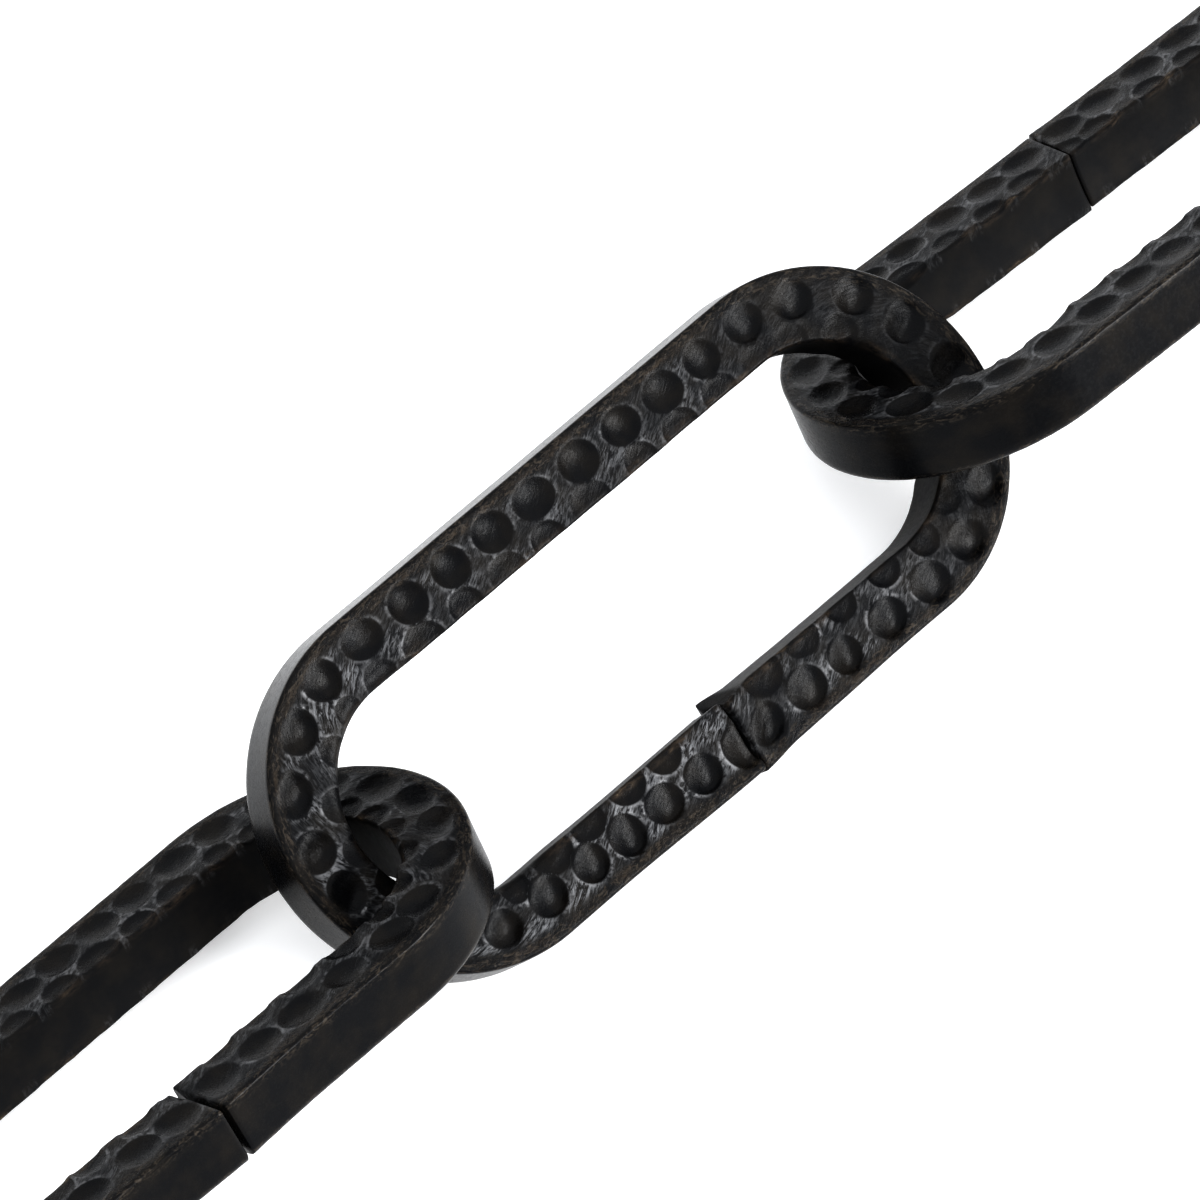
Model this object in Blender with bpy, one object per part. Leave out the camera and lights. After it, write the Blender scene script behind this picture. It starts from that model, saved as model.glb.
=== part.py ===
# A foot of hammered iron chain: five interlocked links, laid out on a level floor.
# X runs along the chain, Z is up and the floor is at Z = 0. All lengths are in metres.
import math

import bmesh
import bpy
import numpy as np
from mathutils import Matrix, Vector

INCH = 0.0254

# One link is a long loop of nearly square bar: two straight legs and two half-round turns.
LINK_LENGTH = 3.0 * INCH
LINK_WIDTH = 1.25 * INCH
BAR_WIDTH = 0.25 * INCH  # across the bar, in the plane of the loop
BAR_DEPTH = 0.0059  # through the bar, from one hammered face to the other
EDGE_CHAMFER = 0.0008
TURN_FACETS = 14  # even, so that one flat facet lies square across each end

CONTACT_GAP = 0.0004  # along the chain, so about 0.3 mm square to the sloping inner sides

# How each link lies. lean is its tilt about its own length and turn its bearing, both in degrees, and
# aside its distance in Y from the link before it, where the two cross. The links lean by turns to one
# side and the other, and each touches the floor with its lower leg.
LAYOUT = (
    {"lean": 30.6, "turn": 0.8, "aside": 0.0},
    {"lean": -29.3, "turn": 0.0, "aside": -0.00030},
    {"lean": 30.7, "turn": 0.0, "aside": 0.00096},
    {"lean": -32.9, "turn": -2.7, "aside": -0.00034},
    {"lean": 30.2, "turn": -1.2, "aside": 0.00020},
)

# The seam of each link, where the two ends of its bar meet without a weld. side is the leg it is in,
# shift its distance along the leg from the link's middle, opening the width it stands open, and step
# how far one end is bent out of line towards the inside of the loop. The cut leans towards +X by slant
# on its way outwards and by rake on its way up through the bar, both in degrees off square.
SEAMS = (
    {"side": 1, "shift": 0.0010, "opening": 0.00030, "step": 0.00030, "slant": 4.0, "rake": 0.0},
    {"side": -1, "shift": 0.0018, "opening": 0.00055, "step": 0.00015, "slant": 5.7, "rake": -4.0},
    {"side": -1, "shift": 0.0003, "opening": 0.00030, "step": 0.00020, "slant": -2.8, "rake": 0.0},
    {"side": 1, "shift": -0.0010, "opening": 0.00025, "step": 0.00030, "slant": 4.3, "rake": 0.0},
    {"side": -1, "shift": 0.0014, "opening": 0.00035, "step": 0.00025, "slant": -5.0, "rake": 3.0},
)

IRON_COLOUR = (0.021, 0.020, 0.020, 1.0)
IRON_ROUGHNESS = 0.42
IRON_METALLIC = 0.75

MID_RADIUS = (LINK_WIDTH - BAR_WIDTH) / 2
INNER_RADIUS = LINK_WIDTH / 2 - BAR_WIDTH
TURN_DISTANCE = LINK_LENGTH - LINK_WIDTH  # between the centres of a link's two turns


def clear_scene():
    for obj in list(bpy.data.objects):
        bpy.data.objects.remove(obj, do_unlink=True)


def bar_section():
    """Corners of the bar's section as (outward, through) pairs, round a rectangle with cut corners."""
    half_width, half_depth = BAR_WIDTH / 2, BAR_DEPTH / 2
    flat_width, flat_depth = half_width - EDGE_CHAMFER, half_depth - EDGE_CHAMFER
    quarter = ((half_width, flat_depth), (flat_width, half_depth))
    corners = list(quarter)
    corners += [(-out, through) for out, through in reversed(quarter)]
    corners += [(-out, -through) for out, through in quarter]
    corners += [(out, -through) for out, through in reversed(quarter)]
    return corners


def turn_stations(centre_x, first_angle):
    """Rings round one turn. Its facets touch the true arc at their middles, so sizes hold there."""
    facet = math.pi / TURN_FACETS
    reach = 1 / math.cos(facet / 2)
    stations = []
    for number in range(TURN_FACETS):
        angle = first_angle + (number + 0.5) * facet
        outward = Vector((math.cos(angle), math.sin(angle))) * reach
        stations.append((Vector((centre_x, 0)) + MID_RADIUS * outward, outward, (0.0, 0.0)))
    return stations


def loop_stations(seam):
    """Rings along the bar from one end to the other, as (point, outward step, cut).

    The seam is in the leg at -Y, and cut is how far the ring shifts in X for each metre it goes
    outwards and each metre it goes up. A seam on the other side is turned into place later.
    """
    outward = Vector((0, -1))
    cut = [-seam["side"] * math.tan(math.radians(seam[name])) for name in ("slant", "rake")]
    seam_x = TURN_DISTANCE / 2 - seam["side"] * seam["shift"]
    first = Vector((seam_x + seam["opening"] / 2, seam["step"] - MID_RADIUS))
    last = Vector((seam_x - seam["opening"] / 2, -MID_RADIUS))
    stations = [(first, outward, cut)]
    stations += turn_stations(TURN_DISTANCE, -math.pi / 2)
    stations += turn_stations(0.0, math.pi / 2)
    stations.append((last, outward, cut))
    return stations


def link_mesh(name, seam):
    """One link in its own plane, from its first turn's centre at the origin along +X to the other."""
    mesh = bmesh.new()
    rings = []
    for point, outward, (slant, rake) in loop_stations(seam):
        ring = []
        for out, through in bar_section():
            place = point + out * outward
            ring.append(mesh.verts.new((place.x + slant * out + rake * through, place.y, through)))
        rings.append(ring)
    for ring, following in zip(rings, rings[1:]):
        for corner in range(len(ring)):
            beside = (corner + 1) % len(ring)
            mesh.faces.new((ring[corner], ring[beside], following[beside], following[corner]))
    mesh.faces.new(rings[0])
    mesh.faces.new(reversed(rings[-1]))
    if seam["side"] > 0:
        half_turn = Matrix.Rotation(math.pi, 4, "Z")
        middle = Matrix.Translation((TURN_DISTANCE / 2, 0, 0))
        bmesh.ops.transform(mesh, matrix=middle @ half_turn @ middle.inverted(), verts=mesh.verts)
    bmesh.ops.recalc_face_normals(mesh, faces=mesh.faces)
    data = bpy.data.meshes.new(name)
    mesh.to_mesh(data)
    mesh.free()
    return data


def rest_height(lean):
    """Height of a leaning link's middle above the floor that its lower leg touches."""
    tilt = math.radians(abs(lean))
    reaches = []
    for out, through in bar_section():
        reaches.append((MID_RADIUS + out) * math.sin(tilt) + through * math.cos(tilt))
    return max(reaches)


def link_spacing(before, after):
    """Distance between the middles of two neighbours that stay CONTACT_GAP apart where they cross.

    Each inner side is hollow along its own turn, falls away at its chamfers and slopes with the link's
    bearing. Over the field where the two bars cross, one corner comes closest, and it sets the spacing.
    """
    reach = np.linspace(-BAR_DEPTH, BAR_DEPTH, 401)
    sideways, upward = np.meshgrid(reach, reach)
    level = (rest_height(before["lean"]) + rest_height(after["lean"])) / 2
    flat = BAR_DEPTH / 2 - EDGE_CHAMFER
    slope = math.tan(math.radians(before["turn"])) - math.tan(math.radians(after["turn"]))
    closeness = slope * sideways
    crossing = np.ones_like(sideways, dtype=bool)
    for layout, centre in ((before, -after["aside"] / 2), (after, after["aside"] / 2)):
        tilt = math.radians(layout["lean"])
        across, height = sideways - centre, upward + level - rest_height(layout["lean"])
        along = across * math.cos(tilt) + height * math.sin(tilt)
        through = np.abs(height * math.cos(tilt) - across * math.sin(tilt))
        hollow = INNER_RADIUS - np.sqrt(np.maximum(INNER_RADIUS**2 - along**2, 0))
        closeness += hollow - np.maximum(through - flat, 0)
        crossing &= through <= BAR_DEPTH / 2
    return LINK_LENGTH - 2 * BAR_WIDTH - float(closeness[crossing].max()) - CONTACT_GAP


def link_places():
    """Where each link's first turn lies. Neighbours meet half way between their middles."""
    middle, heading = Vector((0, 0)), Vector((1, 0))
    places = []
    for number, layout in enumerate(LAYOUT):
        bearing = math.radians(layout["turn"])
        next_heading = Vector((math.cos(bearing), math.sin(bearing)))
        if number > 0:
            spacing = link_spacing(LAYOUT[number - 1], layout)
            middle = middle + (heading + next_heading) * spacing / 2 + Vector((0, layout["aside"]))
        heading = next_heading
        first_turn = middle - heading * TURN_DISTANCE / 2
        place = Matrix.Translation((*first_turn, rest_height(layout["lean"])))
        tilt = Matrix.Rotation(math.radians(layout["lean"]), 4, "X")
        places.append(place @ Matrix.Rotation(bearing, 4, "Z") @ tilt)
    return places


def centring(meshes, places):
    """The shift that puts the middle of the whole chain's bounding box over the origin."""
    corners = [place @ vert.co for data, place in zip(meshes, places) for vert in data.vertices]
    middle = [(min(c[axis] for c in corners) + max(c[axis] for c in corners)) / 2 for axis in (0, 1)]
    return Matrix.Translation((-middle[0], -middle[1], 0))


def iron_finish():
    material = bpy.data.materials.new("blackened_iron")
    material.use_nodes = True
    shader = material.node_tree.nodes["Principled BSDF"]
    shader.inputs["Base Color"].default_value = IRON_COLOUR
    shader.inputs["Roughness"].default_value = IRON_ROUGHNESS
    shader.inputs["Metallic"].default_value = IRON_METALLIC
    return material


def build_chain():
    """Each link is the child of the one before it, with its origin at the turn that it swings about."""
    finish = iron_finish()
    names = [f"link_{number + 1}" for number in range(len(SEAMS))]
    meshes = [link_mesh(name, seam) for name, seam in zip(names, SEAMS)]
    places = link_places()
    shift = centring(meshes, places)
    parent, parent_place = None, Matrix.Identity(4)
    for name, data, place in zip(names, meshes, places):
        data.materials.append(finish)
        link = bpy.data.objects.new(name, data)
        bpy.context.scene.collection.objects.link(link)
        link.parent = parent
        link.matrix_basis = parent_place.inverted() @ shift @ place
        parent, parent_place = link, shift @ place


clear_scene()
build_chain()
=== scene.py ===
# A foot of hammered iron chain, five links long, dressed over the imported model.
# Each link is one surface: a rounded bar section carried round the loop, with the hammer work pressed
# into its two broad faces. Shapes are worked out in millimetres and put in the meshes in metres.
import math

import bpy
import numpy as np
from mathutils import Matrix, Vector


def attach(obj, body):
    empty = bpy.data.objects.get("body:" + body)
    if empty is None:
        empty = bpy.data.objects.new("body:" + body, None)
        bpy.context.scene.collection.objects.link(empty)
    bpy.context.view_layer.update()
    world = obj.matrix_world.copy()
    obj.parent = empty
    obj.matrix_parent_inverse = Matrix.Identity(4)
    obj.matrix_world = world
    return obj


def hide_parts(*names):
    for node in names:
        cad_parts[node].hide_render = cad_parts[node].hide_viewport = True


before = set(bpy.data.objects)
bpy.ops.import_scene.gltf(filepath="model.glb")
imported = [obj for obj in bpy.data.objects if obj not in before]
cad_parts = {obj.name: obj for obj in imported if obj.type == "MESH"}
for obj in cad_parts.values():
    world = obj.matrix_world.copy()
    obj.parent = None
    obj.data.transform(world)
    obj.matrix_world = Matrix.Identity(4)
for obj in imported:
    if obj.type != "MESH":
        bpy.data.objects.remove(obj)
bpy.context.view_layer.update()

print("frame loaded:", ", ".join(sorted(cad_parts)))

# The bar and the loop that it is bent to, in mm.
bar = {
    "linkLength": 76.2,
    "linkWidth": 31.75,
    "width": 6.35,         # across the bar, in the plane of the loop
    "depth": 5.9,          # through the bar, between the hammered faces
    "outerTopRadius": 0.32,
    "outerBackRadius": 0.85,
    "innerTopRadius": 0.28,
    "innerBackRadius": 0.28,
    "contactRadius": 1.15,  # of both inner corners where the next bar bears on the turn
    "contactFrom": (19, 25),  # how far from the turn's middle that begins and ends, in degrees
    "contactTo": (38, 47),
    "swingReach": (98, 112),  # the same for the turn that swings in its neighbour, along all of it
    "upset": 0.55,         # how much the bend thickens the inner edge at its middle, on the back
    "upsetReach": (13, 24),  # and where that fades, in degrees from the turn's middle
    "upsetInside": 3.0,    # it is full this far inwards from the bar's middle
    "rings": 840,          # steps along the bar
    "faceColumns": 30,     # steps across each hammered face
    "sideColumns": 12,
    "cornerColumns": 5,
    "cutReach": 5.0,       # how far from the seam the rings still lean with the cut
    "endBreak": 0.10,      # rounding of the cut ends
    "twistReach": (3.5, 45.0),  # how far from the seam the first and last twist fade
    "tornAlong": (1.6, 2.8),  # where the torn part of an end fades, along the bar
    "tornInside": (2.9, 3.1),  # and where it begins, inwards from the bar's middle
    "edgeWaves": (10, 5.0, 16.0),  # waves in the edges: their number, the shortest and the longest
    "edgeWander": 0.003,   # how far they go, as a share of the width
    "sharpAngle": 62,      # edges that turn more than this look sharp, in degrees
}

# Where each link lies: middle in mm, lean about its own length and turn of its bearing in degrees. They
# stand up to 0.3 mm further apart than in the CAD, where their crossings are left open.
# side is the leg its seam is in, shift the seam's distance from the middle, opening its width, step how
# far the first end stands inwards, bow how far both are bent outwards and flare how much wider they are,
# all in mm, with how far from the seam the bow and the flare reach. slant and rake lean the cut in degrees,
# on its way outwards and upwards, and bulge bends its middle back in mm. twists turns the two ends about
# the bar in degrees, and torn is how rough the first one is at its inner side. seed draws the link's own
# hammer marks.
links = {
    "link_1": {"middle": (-122.790, 1.025, 10.213), "lean": 30.6, "turn": 0.8, "side": 1, "shift": 1.0,
               "opening": 0.30, "step": 0.30, "slant": 4.0, "rake": 0.0, "bow": 0.10, "bowReach": 9,
               "flare": 0.08, "flareReach": 3, "bulge": 0.2, "twists": (0, 0), "torn": 0.0, "seed": 11},
    "link_2": {"middle": (-61.330, 1.154, 9.950), "lean": -29.3, "turn": 0.0, "side": -1, "shift": 1.8,
               "opening": 0.55, "step": 0.15, "slant": 5.7, "rake": -4.0, "bow": 0.30, "bowReach": 9,
               "flare": 0.05, "flareReach": 3, "bulge": 0.0, "twists": (0, 0), "torn": 0.0, "seed": 22},
    "link_3": {"middle": (0.035, 2.114, 10.233), "lean": 30.7, "turn": 0.0, "side": -1, "shift": 0.4,
               "opening": 0.30, "step": 0.30, "slant": -2.8, "rake": 0.0, "bow": 0.24, "bowReach": 22,
               "flare": 0.18, "flareReach": 16, "bulge": 0.75, "twists": (-9, 5), "torn": 1.0, "seed": 33},
    "link_4": {"middle": (61.500, 0.331, 10.665), "lean": -32.9, "turn": -2.7, "side": 1, "shift": -1.0,
               "opening": 0.25, "step": 0.30, "slant": 4.3, "rake": 0.0, "bow": 0.10, "bowReach": 9,
               "flare": 0.10, "flareReach": 3, "bulge": 0.1, "twists": (0, 0), "torn": 0.0, "seed": 44},
    "link_5": {"middle": (122.980, -1.560, 10.133), "lean": 30.2, "turn": -1.2, "side": -1, "shift": 1.4,
               "opening": 0.35, "step": 0.25, "slant": -5.0, "rake": 3.0, "bow": 0.10, "bowReach": 9,
               "flare": 0.08, "flareReach": 3, "bulge": 0.3, "twists": (0, 0), "torn": 0.0, "seed": 55},
}

# The hammer work: a row of hollows down the middle of the face and a row of half hollows on its inner
# edge, in mm. The flat web left between them is worn. The middle link's upper face has its own places,
# depths, tilts and wear further down.
hammer = {
    "pitch": 4.6,          # along the bar
    "pitchSpread": 0.28,
    "halfLong": 2.16,      # half length of a hollow, along the bar
    "halfWide": 1.80,
    "reach": 3.0,          # how far past its end a hollow is looked for
    "sizeSpread": 0.10,
    "rowOffset": 0.38,     # the main row, outwards from the middle of the bar
    "rowSpread": 0.14,
    "innerOffset": -2.78,  # the row on the inner edge
    "innerSpread": 0.10,
    "innerRadius": 1.72,
    "innerStretch": 1.18,  # how much longer than wide its marks are at most
    "innerLag": 2.2,       # how far that row is staggered along the bar
    "depth": 0.57,
    "plainDepth": 0.68,    # share of that depth on the faces that aren't seen in full
    "innerDepth": 0.24,
    "depthSpread": 0.05,
    "reachDown": (0.3, 1.3),  # how deep below its face a mark still moves the bar's sides
    "bowlPower": 2.0,      # of the curve that a hollow's floor follows
    "innerPower": 6.0,     # the same for the flatter half hollows
    "rimPower": 8,         # and of the curve that ends both at their rims
    "backDepth": 0.60,     # how much of its depth a hollow has on the faces that lie down
    "backInner": 0.15,     # and a half hollow
    "tilt": 0.25,          # how much deeper a hollow is at one side, as a share of its depth
    "wear": 0.50,          # how worn the web is
    "webOuter": (1.4, 2.2),  # where the web ends, outwards from the middle of the bar
    "webInner": (-3.1, -2.7),  # and where it fades at the inner edge
    "webEdge": 0.4,        # to this share
    "webMiddle": (-2.4, -0.8),  # between these the inner part of the web changes to the middle one
    "marginFrom": (1.7, 2.3),  # where the brown margin outside the web begins
    "marginEdge": (0.5, 0.9),  # and where it ends, below the face
    "rim": 0.82,           # inside this share of a hollow, older marks are wiped out
    "dentDepth": 0.012,    # small dents over everything
    "dentWaves": (14, 0.9, 3.2),  # their waves: number, shortest and longest
}

# The middle link's upper face as seen: (distance along, outward offset) of its main hollows, in mm,
# counted from the middle of the leg without a seam, and the same for the half hollows inside them.
seenCells = (
    (-37.6, 0.5), (-32.9, 0.9), (-27.6, 0.6), (-22.9, 0.5), (-18.0, 0.4), (-13.4, 0.4), (-8.6, 0.45),
    (-3.7, 0.5), (1.5, 0.5), (6.2, 0.6), (11.0, 0.6), (15.8, 0.6), (20.9, 0.7), (25.7, 0.7), (30.2, 0.9),
    (35.0, 1.1), (39.6, 0.7), (43.5, 0.5), (48.2, 0.4), (52.8, 0.4), (57.5, 0.1), (62.4, -0.4),
    (67.1, -0.1), (71.1, 0.1), (75.4, 0.1), (79.7, 0.3), (83.8, 0.6), (86.9, 0.4), (91.7, 0.45),
    (96.2, 0.5), (101.3, 0.5), (106.3, 0.5), (111.2, 0.6), (116.0, 0.7), (120.8, 0.7), (125.9, 0.6),
)
seenHalves = (
    -32.0, -26.3, -22.1, -17.5, -12.8, -8.2, -2.4, 2.6, 7.2, 11.9, 16.8, 21.7, 26.5, 31.0, 36.5, 41.5,
    46.0, 50.4, 55.3, 60.3, 65.0, 69.1, 73.8, 78.0, 89.2, 93.9, 98.6, 103.6, 108.6, 113.7, 118.6,
    123.5,
)

# The same face by distance from the seam, in mm: how much deeper its hollows are to one side, the bearing
# of that side in the plane of the loop, how far they are troughs across the bar instead of bowls, their
# depth, the share of it that the half hollows have, their half length, and how worn the web is in the
# middle and towards the inner edge.
seenPlaces = (0, 18, 26, 60, 70, 100, 112, 142, 152, 168)
seenTilt = (1.6, 1.6, 1.4, 1.1, 0.15, 0.15, 1.3, 1.6, 1.6, 1.6)
seenBearing = (-56, -56, -70, -74, -74, -74, -58, -54, -56, -56)
seenTrough = (0.8, 0.8, 0.6, 0.6, 0.2, 0.2, 0.1, 0.1, 0.8, 0.8)
seenHalfShare = (1.2, 1.2, 0.5, 0.5, 0.9, 0.9, 0.5, 0.3, 1.2, 1.2)
seenInnerWear = (1.0, 1.0, 0.3, 0.3, 1.0, 1.0, 0.35, 0.35, 1.0, 1.0)
seenDepth = (0.48, 0.48, 0.50, 0.50, 0.57, 0.57, 0.55, 0.55, 0.48, 0.48)
seenHalfLong = (1.90, 1.90, 1.92, 1.92, 1.99, 1.99, 1.90, 1.90, 1.90, 1.90)
seenWear = (0.65, 0.65, 0.12, 0.12, 0.48, 0.48, 0.95, 0.95, 1.0, 1.0)

turnReach = (bar["linkLength"] - bar["linkWidth"]) / 2
midRadius = (bar["linkWidth"] - bar["width"]) / 2
turnLength = math.pi * midRadius


def barSection(innerTop, innerBack):
    # The section is a rectangle of width by depth whose corners are quarter circles:
    # (outward, through) = corner centre + radius * (cos a, sin a), and even steps along the flats.
    outerTop, outerBack = bar["outerTopRadius"], bar["outerBackRadius"]

    def flat(first, last, count):
        part = np.linspace(0, 1, count, endpoint=False)[:, None]
        return np.array(first) * (1 - part) + np.array(last) * part

    def corner(sideways, upwards, size, startDegrees):
        angle = np.radians(startDegrees + np.linspace(0, 90, bar["cornerColumns"], endpoint=False))
        centre = np.array((sideways * (halfWidth - size), upwards * (halfDepth - size)))
        return centre + size * np.stack([np.cos(angle), np.sin(angle)], axis=1)

    halfWidth, halfDepth = bar["width"] / 2, bar["depth"] / 2
    pieces = [
        flat((halfWidth - outerTop, halfDepth), (innerTop - halfWidth, halfDepth), bar["faceColumns"]),
        corner(-1, 1, innerTop, 90),
        flat((-halfWidth, halfDepth - innerTop), (-halfWidth, innerBack - halfDepth), bar["sideColumns"]),
        corner(-1, -1, innerBack, 180),
        flat((innerBack - halfWidth, -halfDepth), (halfWidth - outerBack, -halfDepth), bar["faceColumns"]),
        corner(1, -1, outerBack, 270),
        flat((halfWidth, outerBack - halfDepth), (halfWidth, halfDepth - outerTop), bar["sideColumns"]),
        corner(1, 1, outerTop, 0),
    ]
    section = np.concatenate(pieces)
    return section[:, 0], section[:, 1]


def loopLengths(link):
    # Lengths of the bar's five stretches: first leg, turn, whole leg, turn, last leg.
    seamX = -link["side"] * link["shift"]
    firstX = seamX + link["opening"] / 2
    lastX = seamX - link["opening"] / 2
    return firstX, (turnReach - firstX, turnLength, 2 * turnReach, turnLength, lastX + turnReach)


def ease(value, low, high):
    # A smooth step: 3 t^2 - 2 t^3, for t the share of the way from low to high.
    share = np.clip((value - low) / (high - low), 0, 1)
    return share * share * (3 - 2 * share)


def loopPlace(along, outward, link):
    # A point of the bar, for a seam in the leg at -Y: a base that runs along the link's middle line, plus
    # (midRadius + outward) times the outward direction, which turns with the bar:
    # place = (base, 0) + (midRadius + outward) * (cos a, sin a).
    firstX, (firstLeg, turn, wholeLeg, secondTurn, lastLeg) = loopLengths(link)
    afterTurn = firstLeg + turn
    afterLeg = afterTurn + wholeLeg
    whole = afterLeg + secondTurn + lastLeg
    angle = barAngle(along, (firstLeg, turn, wholeLeg, secondTurn, lastLeg))
    base = firstX + np.minimum(along, firstLeg) - np.clip(along - afterTurn, 0, wholeLeg)
    base = base + np.maximum(along - afterLeg - turn, 0)
    toSeam = np.minimum(along, whole - along)
    stepIn = link["step"] * np.clip(1 - along / firstLeg, 0, None)
    stepIn = stepIn - link["bow"] * (1 - ease(toSeam, 0, link["bowReach"]))
    reach = midRadius + outward
    return base + reach * np.cos(angle), reach * np.sin(angle) + stepIn


def barAngle(along, lengths):
    # Direction of outward in the plane of the loop: -90 degrees on the leg with the seam, and half a turn
    # more after each turn.
    turned = np.clip(along - lengths[0], 0, lengths[1]) + np.clip(along - sum(lengths[:3]), 0, lengths[3])
    return turned / midRadius - math.pi / 2


def hammerMarks(link, face, random):
    # The marks on one face in the order they were struck, as rows of (along, outward, half length, half
    # width, depth, tilt along, tilt outwards, power, trough): first the half marks on the inner edge, then
    # the main row.
    firstX, lengths = loopLengths(link)
    whole = sum(lengths)
    origin = lengths[0] + lengths[1] + turnReach     # the middle of the whole leg
    if link is links["link_3"] and face > 0:
        main = np.array(seenCells)
        along = (main[:, 0] + origin) % (whole + link["opening"])
        innerAlong = (np.array(seenHalves) + origin) % (whole + link["opening"])
        out = main[:, 1]
        struck, lead = np.interp(along, seenPlaces, seenDepth), 1
        trough = np.interp(along, seenPlaces, seenTrough)
        innerShare = np.interp(innerAlong, seenPlaces, seenHalfShare)
        tilt = np.interp(along, seenPlaces, seenTilt)
        bearing = np.radians(np.interp(along, seenPlaces, seenBearing))
        halfLong = np.interp(along, seenPlaces, seenHalfLong)
    else:
        count = int(round(whole / hammer["pitch"]))
        along = (np.arange(count) + 0.5) * whole / count + random.normal(0, hammer["pitchSpread"], count)
        out = hammer["rowOffset"] + random.normal(0, hammer["rowSpread"], count)
        innerAlong = along + hammer["innerLag"] + random.normal(0, hammer["pitchSpread"], count)
        struck, lead = hammer["depth"] * hammer["plainDepth"], random.choice((-1, 1))
        trough, innerShare = 0, 1
        tilt, bearing = hammer["tilt"], random.uniform(0, 2 * math.pi, count)
        halfLong = hammer["halfLong"]
    order = np.argsort(-along * lead)
    count, innerCount = len(along), len(innerAlong)
    size = 1 + random.normal(0, 0.5 * hammer["sizeSpread"], (2, count))
    depth = struck + random.normal(0, hammer["depthSpread"], count)
    wide = hammer["halfWide"] * size[1]
    # The bearing is measured in the plane of the loop, and turned here to lie along and across the bar.
    facing = bearing - barAngle(along, lengths)
    main = np.stack([
        along,
        out,
        halfLong * size[0],
        wide,
        depth,
        tilt * np.sin(facing),
        tilt * np.cos(facing),
        np.full(count, hammer["bowlPower"]),
        trough * np.ones(count),
    ], axis=1)
    radius = hammer["innerRadius"] + random.normal(0, hammer["sizeSpread"], innerCount)
    inner = np.stack([
        innerAlong,
        hammer["innerOffset"] + random.normal(0, hammer["innerSpread"], innerCount),
        radius * random.uniform(1.0, hammer["innerStretch"], innerCount),
        radius,
        (hammer["innerDepth"] + random.normal(0, hammer["depthSpread"], innerCount)) * innerShare,
        np.zeros(innerCount),
        np.zeros(innerCount),
        np.full(innerCount, hammer["innerPower"]),
        np.zeros(innerCount),
    ], axis=1)
    if face < 0:
        main[:, 4] *= hammer["backDepth"]
        inner[:, 4] *= hammer["backInner"]
    return np.concatenate([inner, main[order]])


def ripple(along, outward, random, count, shortest, longest):
    # Sum of plane waves with random directions and phases, scaled to about -1 to 1.
    total = np.zeros(np.broadcast(along, outward).shape)
    for _ in range(count):
        wave = 2 * math.pi / random.uniform(shortest, longest)
        heading, phase = random.uniform(0, math.pi), random.uniform(0, 2 * math.pi)
        total += np.sin(wave * (along * math.cos(heading) + outward * math.sin(heading)) + phase)
    return total / math.sqrt(count)


def hammered(along, outward, link, face, random):
    # Depth of the hammer marks, how worn each point is and its distance q from the nearest mark's middle,
    # in the mark's own half sizes. For (u, v) the place in it along and outwards, the mark's depth is
    # depth * (1 - (1 - trough) q^power - trough u^2) * (1 - q^rimPower) * (1 + tilt . (u, v)).
    # Inside a mark's rim, the marks struck before it are wiped out.
    drop = np.zeros(along.shape)
    clear = np.full(along.shape, 2.0)
    rowAlong = along[:, along.shape[1] // 2]
    for mark in hammerMarks(link, face, random):
        centre, out, halfLong, halfWide, depth, tiltAlong, tiltOut, power, trough = mark
        rows = np.abs(rowAlong - centre) < halfLong + hammer["reach"]
        lengthwise = (along[rows] - centre) / halfLong
        crosswise = (outward[rows] - out) / halfWide
        distance = np.hypot(lengthwise, crosswise)
        inside = np.minimum(distance, 1)
        bowl = depth * (1 - (1 - trough) * inside ** power - trough * np.minimum(lengthwise ** 2, 1))
        bowl = bowl * (1 - inside ** hammer["rimPower"]) * (1 + tiltAlong * lengthwise + tiltOut * crosswise)
        drop[rows] = bowl + drop[rows] * ease(distance, hammer["rim"], 1)
        clear[rows] = np.where(distance < 1, distance, np.minimum(clear[rows], distance))
    dents = ripple(along, outward, random, *hammer["dentWaves"])
    worn = hammer["wear"]
    if link is links["link_3"] and face > 0:
        worn = np.interp(along, seenPlaces, seenWear)
        inward = np.interp(along, seenPlaces, seenInnerWear)
        worn = worn * (inward + (1 - inward) * ease(outward, *hammer["webMiddle"]))
    edge = hammer["webEdge"]
    web = worn * (1 - ease(outward, *hammer["webOuter"]))
    web = web * (edge + (1 - edge) * ease(outward, *hammer["webInner"]))
    return drop + hammer["dentDepth"] * (dents + 1), web, clear


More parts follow.
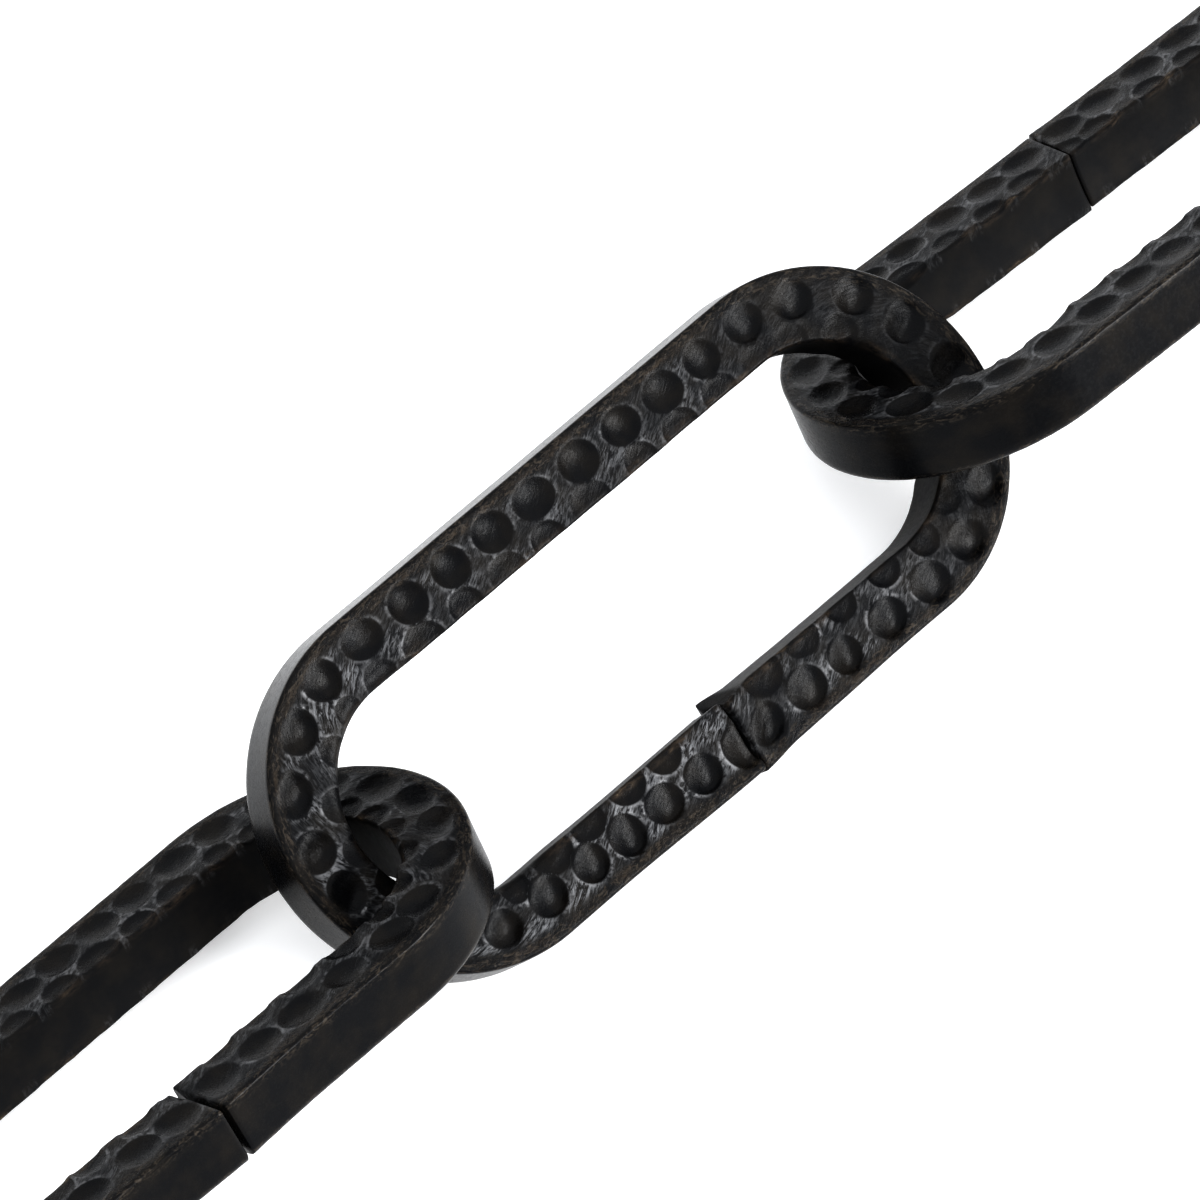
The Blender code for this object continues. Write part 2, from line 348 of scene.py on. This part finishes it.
def linkSurface(link):
    # The whole surface as a grid of rings by columns: place, and what the finish needs at each point.
    random = np.random.default_rng(link["seed"])
    lengths = loopLengths(link)[1]
    whole = sum(lengths)
    ringAlong = np.linspace(0, whole, bar["rings"])
    ringAlong[1], ringAlong[-2] = bar["endBreak"], whole - bar["endBreak"]
    # The section blends from the bar's own to the contact one by the distance from each turn's middle,
    # as an angle. The turn towards -X is the one that swings.
    middles = np.array([lengths[0] + lengths[1] / 2, sum(lengths[:3]) + lengths[3] / 2])
    fromTurns = np.degrees(np.abs(ringAlong[:, None] - middles[::link["side"]]) / midRadius)
    fromSwinging, fromMiddle = fromTurns[:, :1], fromTurns[:, 1:]
    contact = ease(fromMiddle, *bar["contactFrom"]) * (1 - ease(fromMiddle, *bar["contactTo"]))
    contact = contact + 1 - ease(fromSwinging, *bar["swingReach"])
    free = barSection(bar["innerTopRadius"], bar["innerBackRadius"])
    rounded = barSection(bar["contactRadius"], bar["contactRadius"])
    outward, through = (own + contact * (other - own) for own, other in zip(free, rounded))
    along = np.repeat(ringAlong[:, None], outward.shape[1], axis=1)
    toSeam = np.minimum(ringAlong, whole - ringAlong)[:, None]
    # The cut leans: along += outward * tan(slant) + through * tan(rake), less with distance from it.
    # Its middle is bent back by the bulge, which falls off as the square of the height in the bar.
    cut = [-link["side"] * math.tan(math.radians(link[name])) for name in ("slant", "rake")]
    fade = 1 - ease(toSeam, 0, bar["cutReach"])
    middleShare = 1 - (2 * through / bar["depth"]) ** 2
    along = along + (outward * cut[0] + through * cut[1] + link["side"] * link["bulge"] * middleShare) * fade
    web, clear = np.zeros(along.shape), np.zeros(along.shape)
    halfDepth = bar["depth"] / 2
    flatShape = outward, through
    for face in (1, -1):
        drop, faceWeb, faceClear = hammered(along, outward, link, face, random)
        nearness = 1 - ease(halfDepth - face * through, *hammer["reachDown"])
        through = through - face * drop * nearness
        web = np.maximum(web, faceWeb * nearness)
        clear = np.where(nearness > 0, faceClear, clear)
    swollen = 1 - ease(fromMiddle, *bar["upsetReach"])
    swollen = swollen * ease(-flatShape[0], 0, bar["upsetInside"]) * ease(-flatShape[1], 0, halfDepth)
    through = through - bar["upset"] * swollen
    # The edges wander a little, the ends are spread and twisted, and their rims are broken.
    wander = ripple(along, through, random, *bar["edgeWaves"])
    spread = 2 * link["flare"] / bar["width"] * (1 - ease(toSeam, 0, link["flareReach"]))
    wide = 1 + spread - bar["edgeWander"] * (wander + 1)
    rim = 1 - 2 * bar["endBreak"] / bar["width"] * (toSeam < 0.5 * bar["endBreak"])
    outward, through = outward * wide * rim, through * rim
    first, last = np.radians(link["twists"])
    firstReach, lastReach = bar["twistReach"]
    twist = first * (1 - ease(ringAlong, 0, firstReach)) + last * (1 - ease(whole - ringAlong, 0, lastReach))
    twist = twist[:, None]
    outward, through = (outward * np.cos(twist) - through * np.sin(twist),
                        outward * np.sin(twist) + through * np.cos(twist))
    x, y = loopPlace(along, outward, link)
    toFace = halfDepth - np.abs(flatShape[1])
    margin = ease(flatShape[0], *hammer["marginFrom"]) * (1 - ease(toFace, *hammer["marginEdge"]))
    torn = link["torn"] * (1 - ease(along, *bar["tornAlong"])) * ease(-flatShape[0], *bar["tornInside"])
    sideFace = sideShare(*flatShape) * (1 - torn)
    # The edge share below marks worn edges and also the highlight painted along them.
    shares = {"web": web, "clear": clear, "rubAndHighlight": rubAndHighlightMask(flatShape), "margin": margin, "torn": torn,
              "sideFace": sideFace, "innerSide": sideFace * (flatShape[0] < 0)}
    return np.stack([x, y, through], axis=-1), np.stack([along, *flatShape], axis=-1), shares


# Where the edges are rubbed through and where the highlight they catch is painted on with them, in mm:
# the line beside each outer edge, by its place outwards, and the inner edge, with the distances over which
# both fade.
edgeMarks = {
    "lineStrength": 0.65,
    "linePlace": 2.45,
    "lineWidth": 0.25,
    "lineFade": (0.1, 0.5),
    "innerFade": (0.3, 0.9),
    "turnOver": 0.5,       # how softly the hammered faces change to the smooth sides
}


def rubAndHighlightMask(flatShape):
    # The larger of two shares: exp(-((outward - place) / width)^2) for a line where each face turns over
    # at its outer edge, and one that falls with the distance from the inner corners.
    # Both shares mark worn edges and the painted highlight along them.
    outward, through = flatShape
    toFace = bar["depth"] / 2 - np.abs(through)
    outerLine = edgeMarks["lineStrength"] * np.exp(-((outward - edgeMarks["linePlace"]) / edgeMarks["lineWidth"]) ** 2)
    outerLine = outerLine * (1 - ease(toFace, *edgeMarks["lineFade"]))
    toCorner = np.hypot(bar["width"] / 2 + outward, toFace)
    return np.maximum(outerLine, 1 - ease(toCorner, *edgeMarks["innerFade"]))


def sideShare(outward, through):
    # 1 on the smooth sides and 0 on the hammered faces, by which of the two is nearer.
    toSide = bar["width"] / 2 - np.abs(outward)
    toFace = bar["depth"] / 2 - np.abs(through)
    return np.clip(0.5 + (toFace - toSide) / edgeMarks["turnOver"], 0, 1)


def linkPlacement(link):
    # Half a turn for a seam in the other leg, then the lean, the turn and the move to the link's middle.
    place = Matrix.Translation(Vector(link["middle"]))
    lean = Matrix.Rotation(math.radians(link["lean"]), 4, "X")
    tilt = Matrix.Rotation(math.radians(link["turn"]), 4, "Z") @ lean
    halfTurn = Matrix.Rotation(math.pi, 4, "Z") if link["side"] > 0 else Matrix.Identity(4)
    return np.array(place @ tilt @ halfTurn)


def gridFaces(rings, columns):
    # Quads between neighbouring rings, closed round the section, and a fan over each end.
    ring, column = np.meshgrid(np.arange(rings - 1), np.arange(columns), indexing="ij")
    beside = (column + 1) % columns
    quads = np.stack([ring * columns + column, (ring + 1) * columns + column,
                      (ring + 1) * columns + beside, ring * columns + beside], axis=-1).reshape(-1, 4)
    column = np.arange(columns)
    beside = (column + 1) % columns
    firstHub, lastHub = rings * columns, rings * columns + 1
    lastRing = (rings - 1) * columns
    firstFan = np.stack([np.full(columns, firstHub), column, beside], axis=-1)
    lastFan = np.stack([np.full(columns, lastHub), lastRing + beside, lastRing + column], axis=-1)
    return quads, np.concatenate([firstFan, lastFan])


def withHubs(grid):
    # The grid's points in one list, and after them the mean point of its first and of its last ring, on
    # which the cut ends are closed.
    hubs = np.stack([grid[0].mean(axis=0), grid[-1].mean(axis=0)])
    return np.concatenate([grid.reshape(-1, 3), hubs])


def buildLink(name, finish):
    # One mesh: the grid's quads and the two fans that close its ends, moved to where the link lies.
    link = links[name]
    places, barPlaces, shares = linkSurface(link)
    rings, columns = places.shape[:2]
    points, barPoints = withHubs(places), withHubs(barPlaces)
    matrix = linkPlacement(link)
    points = (points @ matrix[:3, :3].T + matrix[:3, 3]) / 1000

    quads, fans = gridFaces(rings, columns)
    mesh = bpy.data.meshes.new(name + "_iron")
    loops = np.concatenate([quads.ravel(), fans.ravel()]).astype(np.int32)
    starts = np.concatenate([np.arange(len(quads)) * 4, len(quads) * 4 + np.arange(len(fans)) * 3])
    starts = starts.astype(np.int32)
    mesh.vertices.add(len(points))
    mesh.vertices.foreach_set("co", points.ravel().astype(np.float32))
    mesh.loops.add(len(loops))
    mesh.loops.foreach_set("vertex_index", loops)
    mesh.polygons.add(len(starts))
    mesh.polygons.foreach_set("loop_start", starts)
    mesh.polygons.foreach_set("use_smooth", np.ones(len(starts), dtype=bool))
    mesh.update(calc_edges=True)
    mesh.validate()
    mesh.set_sharp_from_angle(angle=math.radians(bar["sharpAngle"]))

    vectors = mesh.attributes.new("barPlace", "FLOAT_VECTOR", "POINT")
    vectors.data.foreach_set("vector", (barPoints / 1000).ravel().astype(np.float32))
    for label, values in shares.items():
        attribute = mesh.attributes.new(label, "FLOAT", "POINT")
        attribute.data.foreach_set("value", np.concatenate([values.ravel(), [0, 0]]).astype(np.float32))
    piece = bpy.data.objects.new(name + "_iron", mesh)
    bpy.context.scene.collection.objects.link(piece)
    mesh.materials.append(finish)
    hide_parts(name)
    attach(piece, name)
    return piece


# The finish: near black, worn grey on the web, a grey line on the marks' rims and brown and gold along the
# edges, the last two partly wear and partly painted highlight. Colours are linear.
# The reliefs are how high the streaks and the grain stand, in shares of reliefDepth, which is in metres.
finishTones = {
    "black": (0.0052, 0.0054, 0.0062, 1),
    "brownBlack": (0.0115, 0.0100, 0.0086, 1),
    "marginBrown": (0.046, 0.038, 0.030, 1),
    "webGrey": (0.150, 0.152, 0.157, 1),
    # A worn grey that also paints the highlight caught by the marks' raised rims.
    "rimWearAndHighlightGrey": (0.200, 0.200, 0.204, 1),
    # Worn brown and bare gold on the edges, which also stand in as painted highlight along them.
    "edgeBrownAndHighlight": (0.045, 0.034, 0.025, 1),
    "bareGoldAndHighlight": (0.17, 0.135, 0.090, 1),
    "roughFace": 0.27,
    "roughWeb": 0.45,
    "roughSide": 0.25,
    "roughInside": 0.45,
    "roughTorn": 0.75,
    "roughGrain": (0.3, 0.7, -0.05, 0.07),
    "webMetal": 0.55,
    "shine": 0.12,
    "shineSide": 0.095,
    "streakRelief": 1.2,
    "streakReliefWeb": 2.0,
    "streakReliefSide": 0.12,
    "grainRelief": 1.1,
    "grainReliefSide": 0.08,
    "reliefStrength": 0.55,
    "reliefDepth": 0.00006,
}

# Its patterns: waves a metre along, outwards and through the bar, then the detail, roughness, distortion
# and turn of the noise, the last in degrees.
finishPatterns = {
    "clouds": ((320, 320, 320), 4, 0.55),
    "webStreaks": ((1000, 4600, 1500), 5, 0.68, 0.8, 32),
    "alongStreaks": ((130, 4200, 4200), 5, 0.6),
    "grain": ((2600, 2600, 2600), 5, 0.65),
    "flecks": ((900, 2600, 2600), 3, 0.7),
    "marginStreaks": ((1100, 2600, 2600), 6, 0.74, 1.2),
    "webPatches": ((380, 380, 380), 2, 0.5),
    "beads": ((1900, 1900, 1900), 4, 0.6),
    "rimPatches": ((430, 430, 430), 2, 0.5),
    "rubAndHighlightPatches": ((260, 260, 260), 2, 0.5),
}

# Between which of its values each pattern or share goes from none to all. Four numbers also give what it
# goes from and to.
finishSpans = {
    "clouds": (0.42, 0.66),
    "marginStreaks": (0.51, 0.60),
    "webEdge": (0.92, 1.0),
    "webStreaks": (0.46, 0.60),
    "webPatches": (0.42, 0.58, 0.20, 1.0),
    "rimStart": (0.93, 1.0),
    "rimEnd": (1.03, 1.17, 1.0, 0.0),
    "rimPatches": (0.40, 0.60),
    "beads": (0.42, 0.56),
    "rubAndHighlightPatches": (0.45, 0.65),
    "rubAndHighlightFlecks": (0.40, 0.62),
    "bareAndHighlightRub": (0.5, 1.0),
    "bareAndHighlightFlecks": (0.64, 0.74),
}


class NodeBench:
    # Short hand for placing and joining shader nodes.
    def __init__(self, material):
        material.use_nodes = True
        self.nodes, self.wires = material.node_tree.nodes, material.node_tree.links

    def put(self, kind, settings=None, **inputs):
        node = self.nodes.new(kind)
        for key, value in (settings or {}).items():
            setattr(node, key, value)
        for key, value in inputs.items():
            numbered = key.startswith("in") and key[2:].isdigit()
            self.feed(node.inputs[int(key[2:]) if numbered else key], value)
        return node

    def feed(self, socket, value):
        if isinstance(value, bpy.types.NodeSocket):
            self.wires.new(value, socket)
        else:
            socket.default_value = value

    def read(self, attributeName):
        return self.put("ShaderNodeAttribute", {"attribute_name": attributeName})

    def stretchedNoise(self, vector, stretch, detail=5.0, roughness=0.6, distortion=0.0, turn=0.0):
        if turn:
            vector = self.put("ShaderNodeMapping", None, Vector=vector,
                              Rotation=(0, 0, math.radians(turn))).outputs["Vector"]
        mapped = self.put("ShaderNodeMapping", None, Vector=vector, Scale=stretch)
        noise = self.put("ShaderNodeTexNoise", None, Vector=mapped.outputs["Vector"], Scale=1.0,
                         Detail=detail, Roughness=roughness, Distortion=distortion)
        return noise.outputs["Fac"]

    def span(self, value, low, high, outLow=0.0, outHigh=1.0):
        node = self.put("ShaderNodeMapRange", {"clamp": True}, Value=value)
        for key, number in (("From Min", low), ("From Max", high), ("To Min", outLow), ("To Max", outHigh)):
            node.inputs[key].default_value = number
        return node.outputs["Result"]

    def sum(self, operation, first, second):
        return self.put("ShaderNodeMath", {"operation": operation}, in0=first, in1=second).outputs[0]

    def blend(self, share, first, second):
        node = self.put("ShaderNodeMix", {"data_type": "RGBA"})
        self.feed(node.inputs[0], share)
        self.feed(node.inputs[6], first)
        self.feed(node.inputs[7], second)
        return node.outputs[2]

    def blendNumber(self, share, first, second):
        node = self.put("ShaderNodeMix", {"data_type": "FLOAT"})
        self.feed(node.inputs[0], share)
        self.feed(node.inputs[2], first)
        self.feed(node.inputs[3], second)
        return node.outputs[0]


def ironFinish():
    material = bpy.data.materials.new("blackened_iron_hammered")
    bench = NodeBench(material)
    shader = bench.nodes["Principled BSDF"]
    barPlace = bench.read("barPlace").outputs["Vector"]
    wear = bench.read("web").outputs["Fac"]
    clear = bench.read("clear").outputs["Fac"]
    rubAndHighlight = bench.read("rubAndHighlight").outputs["Fac"]
    margin = bench.read("margin").outputs["Fac"]
    sideFace = bench.read("sideFace").outputs["Fac"]
    torn = bench.read("torn").outputs["Fac"]
    innerSide = bench.read("innerSide").outputs["Fac"]

    def pattern(name):
        return bench.stretchedNoise(barPlace, *finishPatterns[name])

    def share(name, value):
        return bench.span(value, *finishSpans[name])

    # barPlace is in metres along, outwards and through the bar, so 1000 waves a metre is one a mm.
    webStreaks, grain, flecks = pattern("webStreaks"), pattern("grain"), pattern("flecks")
    tone = bench.blend(share("clouds", pattern("clouds")), finishTones["black"], finishTones["brownBlack"])
    marginShare = bench.sum("MULTIPLY", margin, share("marginStreaks", pattern("marginStreaks")))
    tone = bench.blend(marginShare, tone, finishTones["marginBrown"])
    # The web is all that lies outside the marks, clear >= 1. It is greyest in patches, and along the
    # marks' rims a line of grey beads is partly worn metal and partly a painted highlight on the raised
    # rims.
    web = bench.sum("MULTIPLY", wear, share("webEdge", clear))
    webShare = bench.sum("MULTIPLY", web, share("webStreaks", webStreaks))
    webShare = bench.sum("MULTIPLY", webShare, share("webPatches", pattern("webPatches")))
    tone = bench.blend(webShare, tone, finishTones["webGrey"])
    rimWearAndHighlightLine = bench.sum("MULTIPLY", share("rimStart", clear), share("rimEnd", clear))
    rimWearAndHighlightLine = bench.sum("MULTIPLY", rimWearAndHighlightLine, share("rimPatches", pattern("rimPatches")))
    rimWearAndHighlightShare = bench.sum("MULTIPLY", bench.sum("MULTIPLY", rimWearAndHighlightLine, wear), share("beads", pattern("beads")))
    tone = bench.blend(rimWearAndHighlightShare, tone, finishTones["rimWearAndHighlightGrey"])
    webShare = bench.sum("MAXIMUM", webShare, rimWearAndHighlightShare)
    # The edges are brown where they are rubbed and gold in bare flecks where they are rubbed most; the same
    # tones also paint the highlight that the edges catch.
    rubAndHighlight = bench.sum("MULTIPLY", rubAndHighlight, share("rubAndHighlightPatches", pattern("rubAndHighlightPatches")))
    rubAndHighlightShare = bench.sum("MULTIPLY", rubAndHighlight, share("rubAndHighlightFlecks", flecks))
    tone = bench.blend(rubAndHighlightShare, tone, finishTones["edgeBrownAndHighlight"])
    bareAndHighlightShare = bench.sum("MULTIPLY", share("bareAndHighlightRub", rubAndHighlight), share("bareAndHighlightFlecks", flecks))
    tone = bench.blend(bareAndHighlightShare, tone, finishTones["bareGoldAndHighlight"])
    metal = bench.sum("MULTIPLY", webShare, finishTones["webMetal"])

    rough = bench.blendNumber(web, finishTones["roughFace"], finishTones["roughWeb"])
    rough = bench.blendNumber(sideFace, rough, finishTones["roughSide"])
    rough = bench.blendNumber(innerSide, rough, finishTones["roughInside"])
    rough = bench.blendNumber(torn, rough, finishTones["roughTorn"])
    rough = bench.sum("ADD", rough, bench.span(grain, *finishTones["roughGrain"]))

    streaks = bench.blendNumber(sideFace, webStreaks, pattern("alongStreaks"))
    streakRelief = bench.blendNumber(web, finishTones["streakRelief"], finishTones["streakReliefWeb"])
    streakRelief = bench.blendNumber(sideFace, streakRelief, finishTones["streakReliefSide"])
    grainRelief = bench.blendNumber(sideFace, finishTones["grainRelief"], finishTones["grainReliefSide"])
    relief = bench.sum("MULTIPLY", streaks, streakRelief)
    relief = bench.sum("ADD", relief, bench.sum("MULTIPLY", grain, grainRelief))
    bump = bench.put("ShaderNodeBump", None, Strength=finishTones["reliefStrength"],
                     Distance=finishTones["reliefDepth"], Height=relief)

    bench.feed(shader.inputs["Base Color"], tone)
    bench.feed(shader.inputs["Roughness"], rough)
    bench.feed(shader.inputs["Metallic"], metal)
    bench.feed(shader.inputs["Normal"], bump.outputs["Normal"])
    bench.feed(shader.inputs["Specular IOR Level"],
               bench.blendNumber(sideFace, finishTones["shine"], finishTones["shineSide"]))
    return material


finish = ironFinish()
pieces = [buildLink(name, finish) for name in links]
print("links made:", ", ".join(f"{p.name} {len(p.data.polygons)} faces" for p in pieces))

# The studio: a pale floor under an even sky that is dim near the horizon, and one soft light low on the
# picture's right.
studio = {
    "floorSize": 6.0,
    "floorTone": (0.90, 0.90, 0.90, 1),
    "floorGlow": 0.30,      # light of its own, which keeps the shadows faint
    "floorRough": 0.9,
    "floorShine": 0.1,
    "skyTone": (0.96, 0.975, 1.0, 1),
    "skyLow": 0.25,         # strength at the horizon
    "skyHigh": 1.25,        # and from skyRise upwards, as the height of a unit direction
    "skyRise": 0.50,
    "keyPower": 14.5,
    "keySize": (0.50, 0.50),
    "keyPlace": (0.66, -1.04, 0.44),
}

# The photograph's view: bearing and height of the line of sight in degrees, distance and aim in mm,
# and the scale, in pixels of a picture of that size. The sensor is in mm.
view = {
    "bearing": 45.38,
    "height": 56.93,
    "roll": 0.02,
    "distance": 800.0,
    "aimRight": 2.679,
    "aimUp": -1.706,
    "pixelsPerMm": 12.224,
    "pictureSize": 1200,
    "sensor": 36.0,
    "clip": (0.01, 20),    # nearest and farthest that the camera sees, in m
}


def buildFloor():
    # One square face at the height of the chain's foot.
    half = studio["floorSize"] / 2
    corners = [(-half, -half, 0), (half, -half, 0), (half, half, 0), (-half, half, 0)]
    mesh = bpy.data.meshes.new("floor")
    mesh.from_pydata(corners, [], [(0, 1, 2, 3)])
    floor = bpy.data.objects.new("floor", mesh)
    bpy.context.scene.collection.objects.link(floor)
    material = bpy.data.materials.new("pale_floor")
    material.use_nodes = True
    shader = material.node_tree.nodes["Principled BSDF"]
    shader.inputs["Base Color"].default_value = studio["floorTone"]
    shader.inputs["Emission Color"].default_value = studio["floorTone"]
    shader.inputs["Emission Strength"].default_value = studio["floorGlow"]
    shader.inputs["Roughness"].default_value = studio["floorRough"]
    shader.inputs["Specular IOR Level"].default_value = studio["floorShine"]
    mesh.materials.append(material)


def buildLamp(name, place, size, power):
    # An area lamp that faces the middle of the chain.
    lamp = bpy.data.lights.new(name, "AREA")
    lamp.shape = "RECTANGLE"
    lamp.size, lamp.size_y = size
    lamp.energy = power
    holder = bpy.data.objects.new(name, lamp)
    bpy.context.scene.collection.objects.link(holder)
    holder.location = place
    holder.rotation_euler = (-Vector(place)).to_track_quat("-Z", "Y").to_euler()


def buildCamera():
    # Camera rows: right, up and back. Its place is the middle link's, moved so that the aim falls on
    # the picture's middle: centre = middle + right * -aimRight + up * -aimUp + back * distance.
    bearing, height = math.radians(view["bearing"]), math.radians(view["height"])
    right = Vector((math.cos(bearing), -math.sin(bearing), 0))
    level = Vector((math.sin(bearing), math.cos(bearing), 0))
    forward = level * math.cos(height) - Vector((0, 0, math.sin(height)))
    up = right.cross(forward)
    rows = Matrix((right, up, -forward))
    rows = Matrix.Rotation(math.radians(view["roll"]), 3, "Z") @ rows
    fromMiddle = Vector((-view["aimRight"], -view["aimUp"], view["distance"]))
    centre = Vector(links["link_3"]["middle"]) + rows.transposed() @ fromMiddle
    data = bpy.data.cameras.new("camera")
    data.sensor_width = view["sensor"]
    data.lens = view["pixelsPerMm"] * view["distance"] * view["sensor"] / view["pictureSize"]
    data.clip_start, data.clip_end = view["clip"]
    holder = bpy.data.objects.new("camera", data)
    bpy.context.scene.collection.objects.link(holder)
    holder.matrix_world = Matrix.Translation(centre / 1000) @ rows.transposed().to_4x4()
    bpy.context.scene.camera = holder


def buildWorld():
    # Strength rises with the height of the direction seen.
    world = bpy.data.worlds.new("studio")
    world.use_nodes = True
    nodes, wires = world.node_tree.nodes, world.node_tree.links
    direction = nodes.new("ShaderNodeTexCoord")
    split = nodes.new("ShaderNodeSeparateXYZ")
    wires.new(direction.outputs["Generated"], split.inputs[0])
    rise = nodes.new("ShaderNodeMapRange")
    wires.new(split.outputs["Z"], rise.inputs["Value"])
    rise.inputs["From Min"].default_value = 0.0
    rise.inputs["From Max"].default_value = studio["skyRise"]
    rise.inputs["To Min"].default_value = studio["skyLow"]
    rise.inputs["To Max"].default_value = studio["skyHigh"]
    background = nodes["Background"]
    background.inputs["Color"].default_value = studio["skyTone"]
    wires.new(rise.outputs["Result"], background.inputs["Strength"])
    bpy.context.scene.world = world


buildFloor()
buildLamp("key", studio["keyPlace"], studio["keySize"], studio["keyPower"])
buildWorld()
buildCamera()
bpy.context.scene.view_settings.view_transform = "Standard"
bpy.context.scene.view_settings.look = "High Contrast"
print("studio ready")
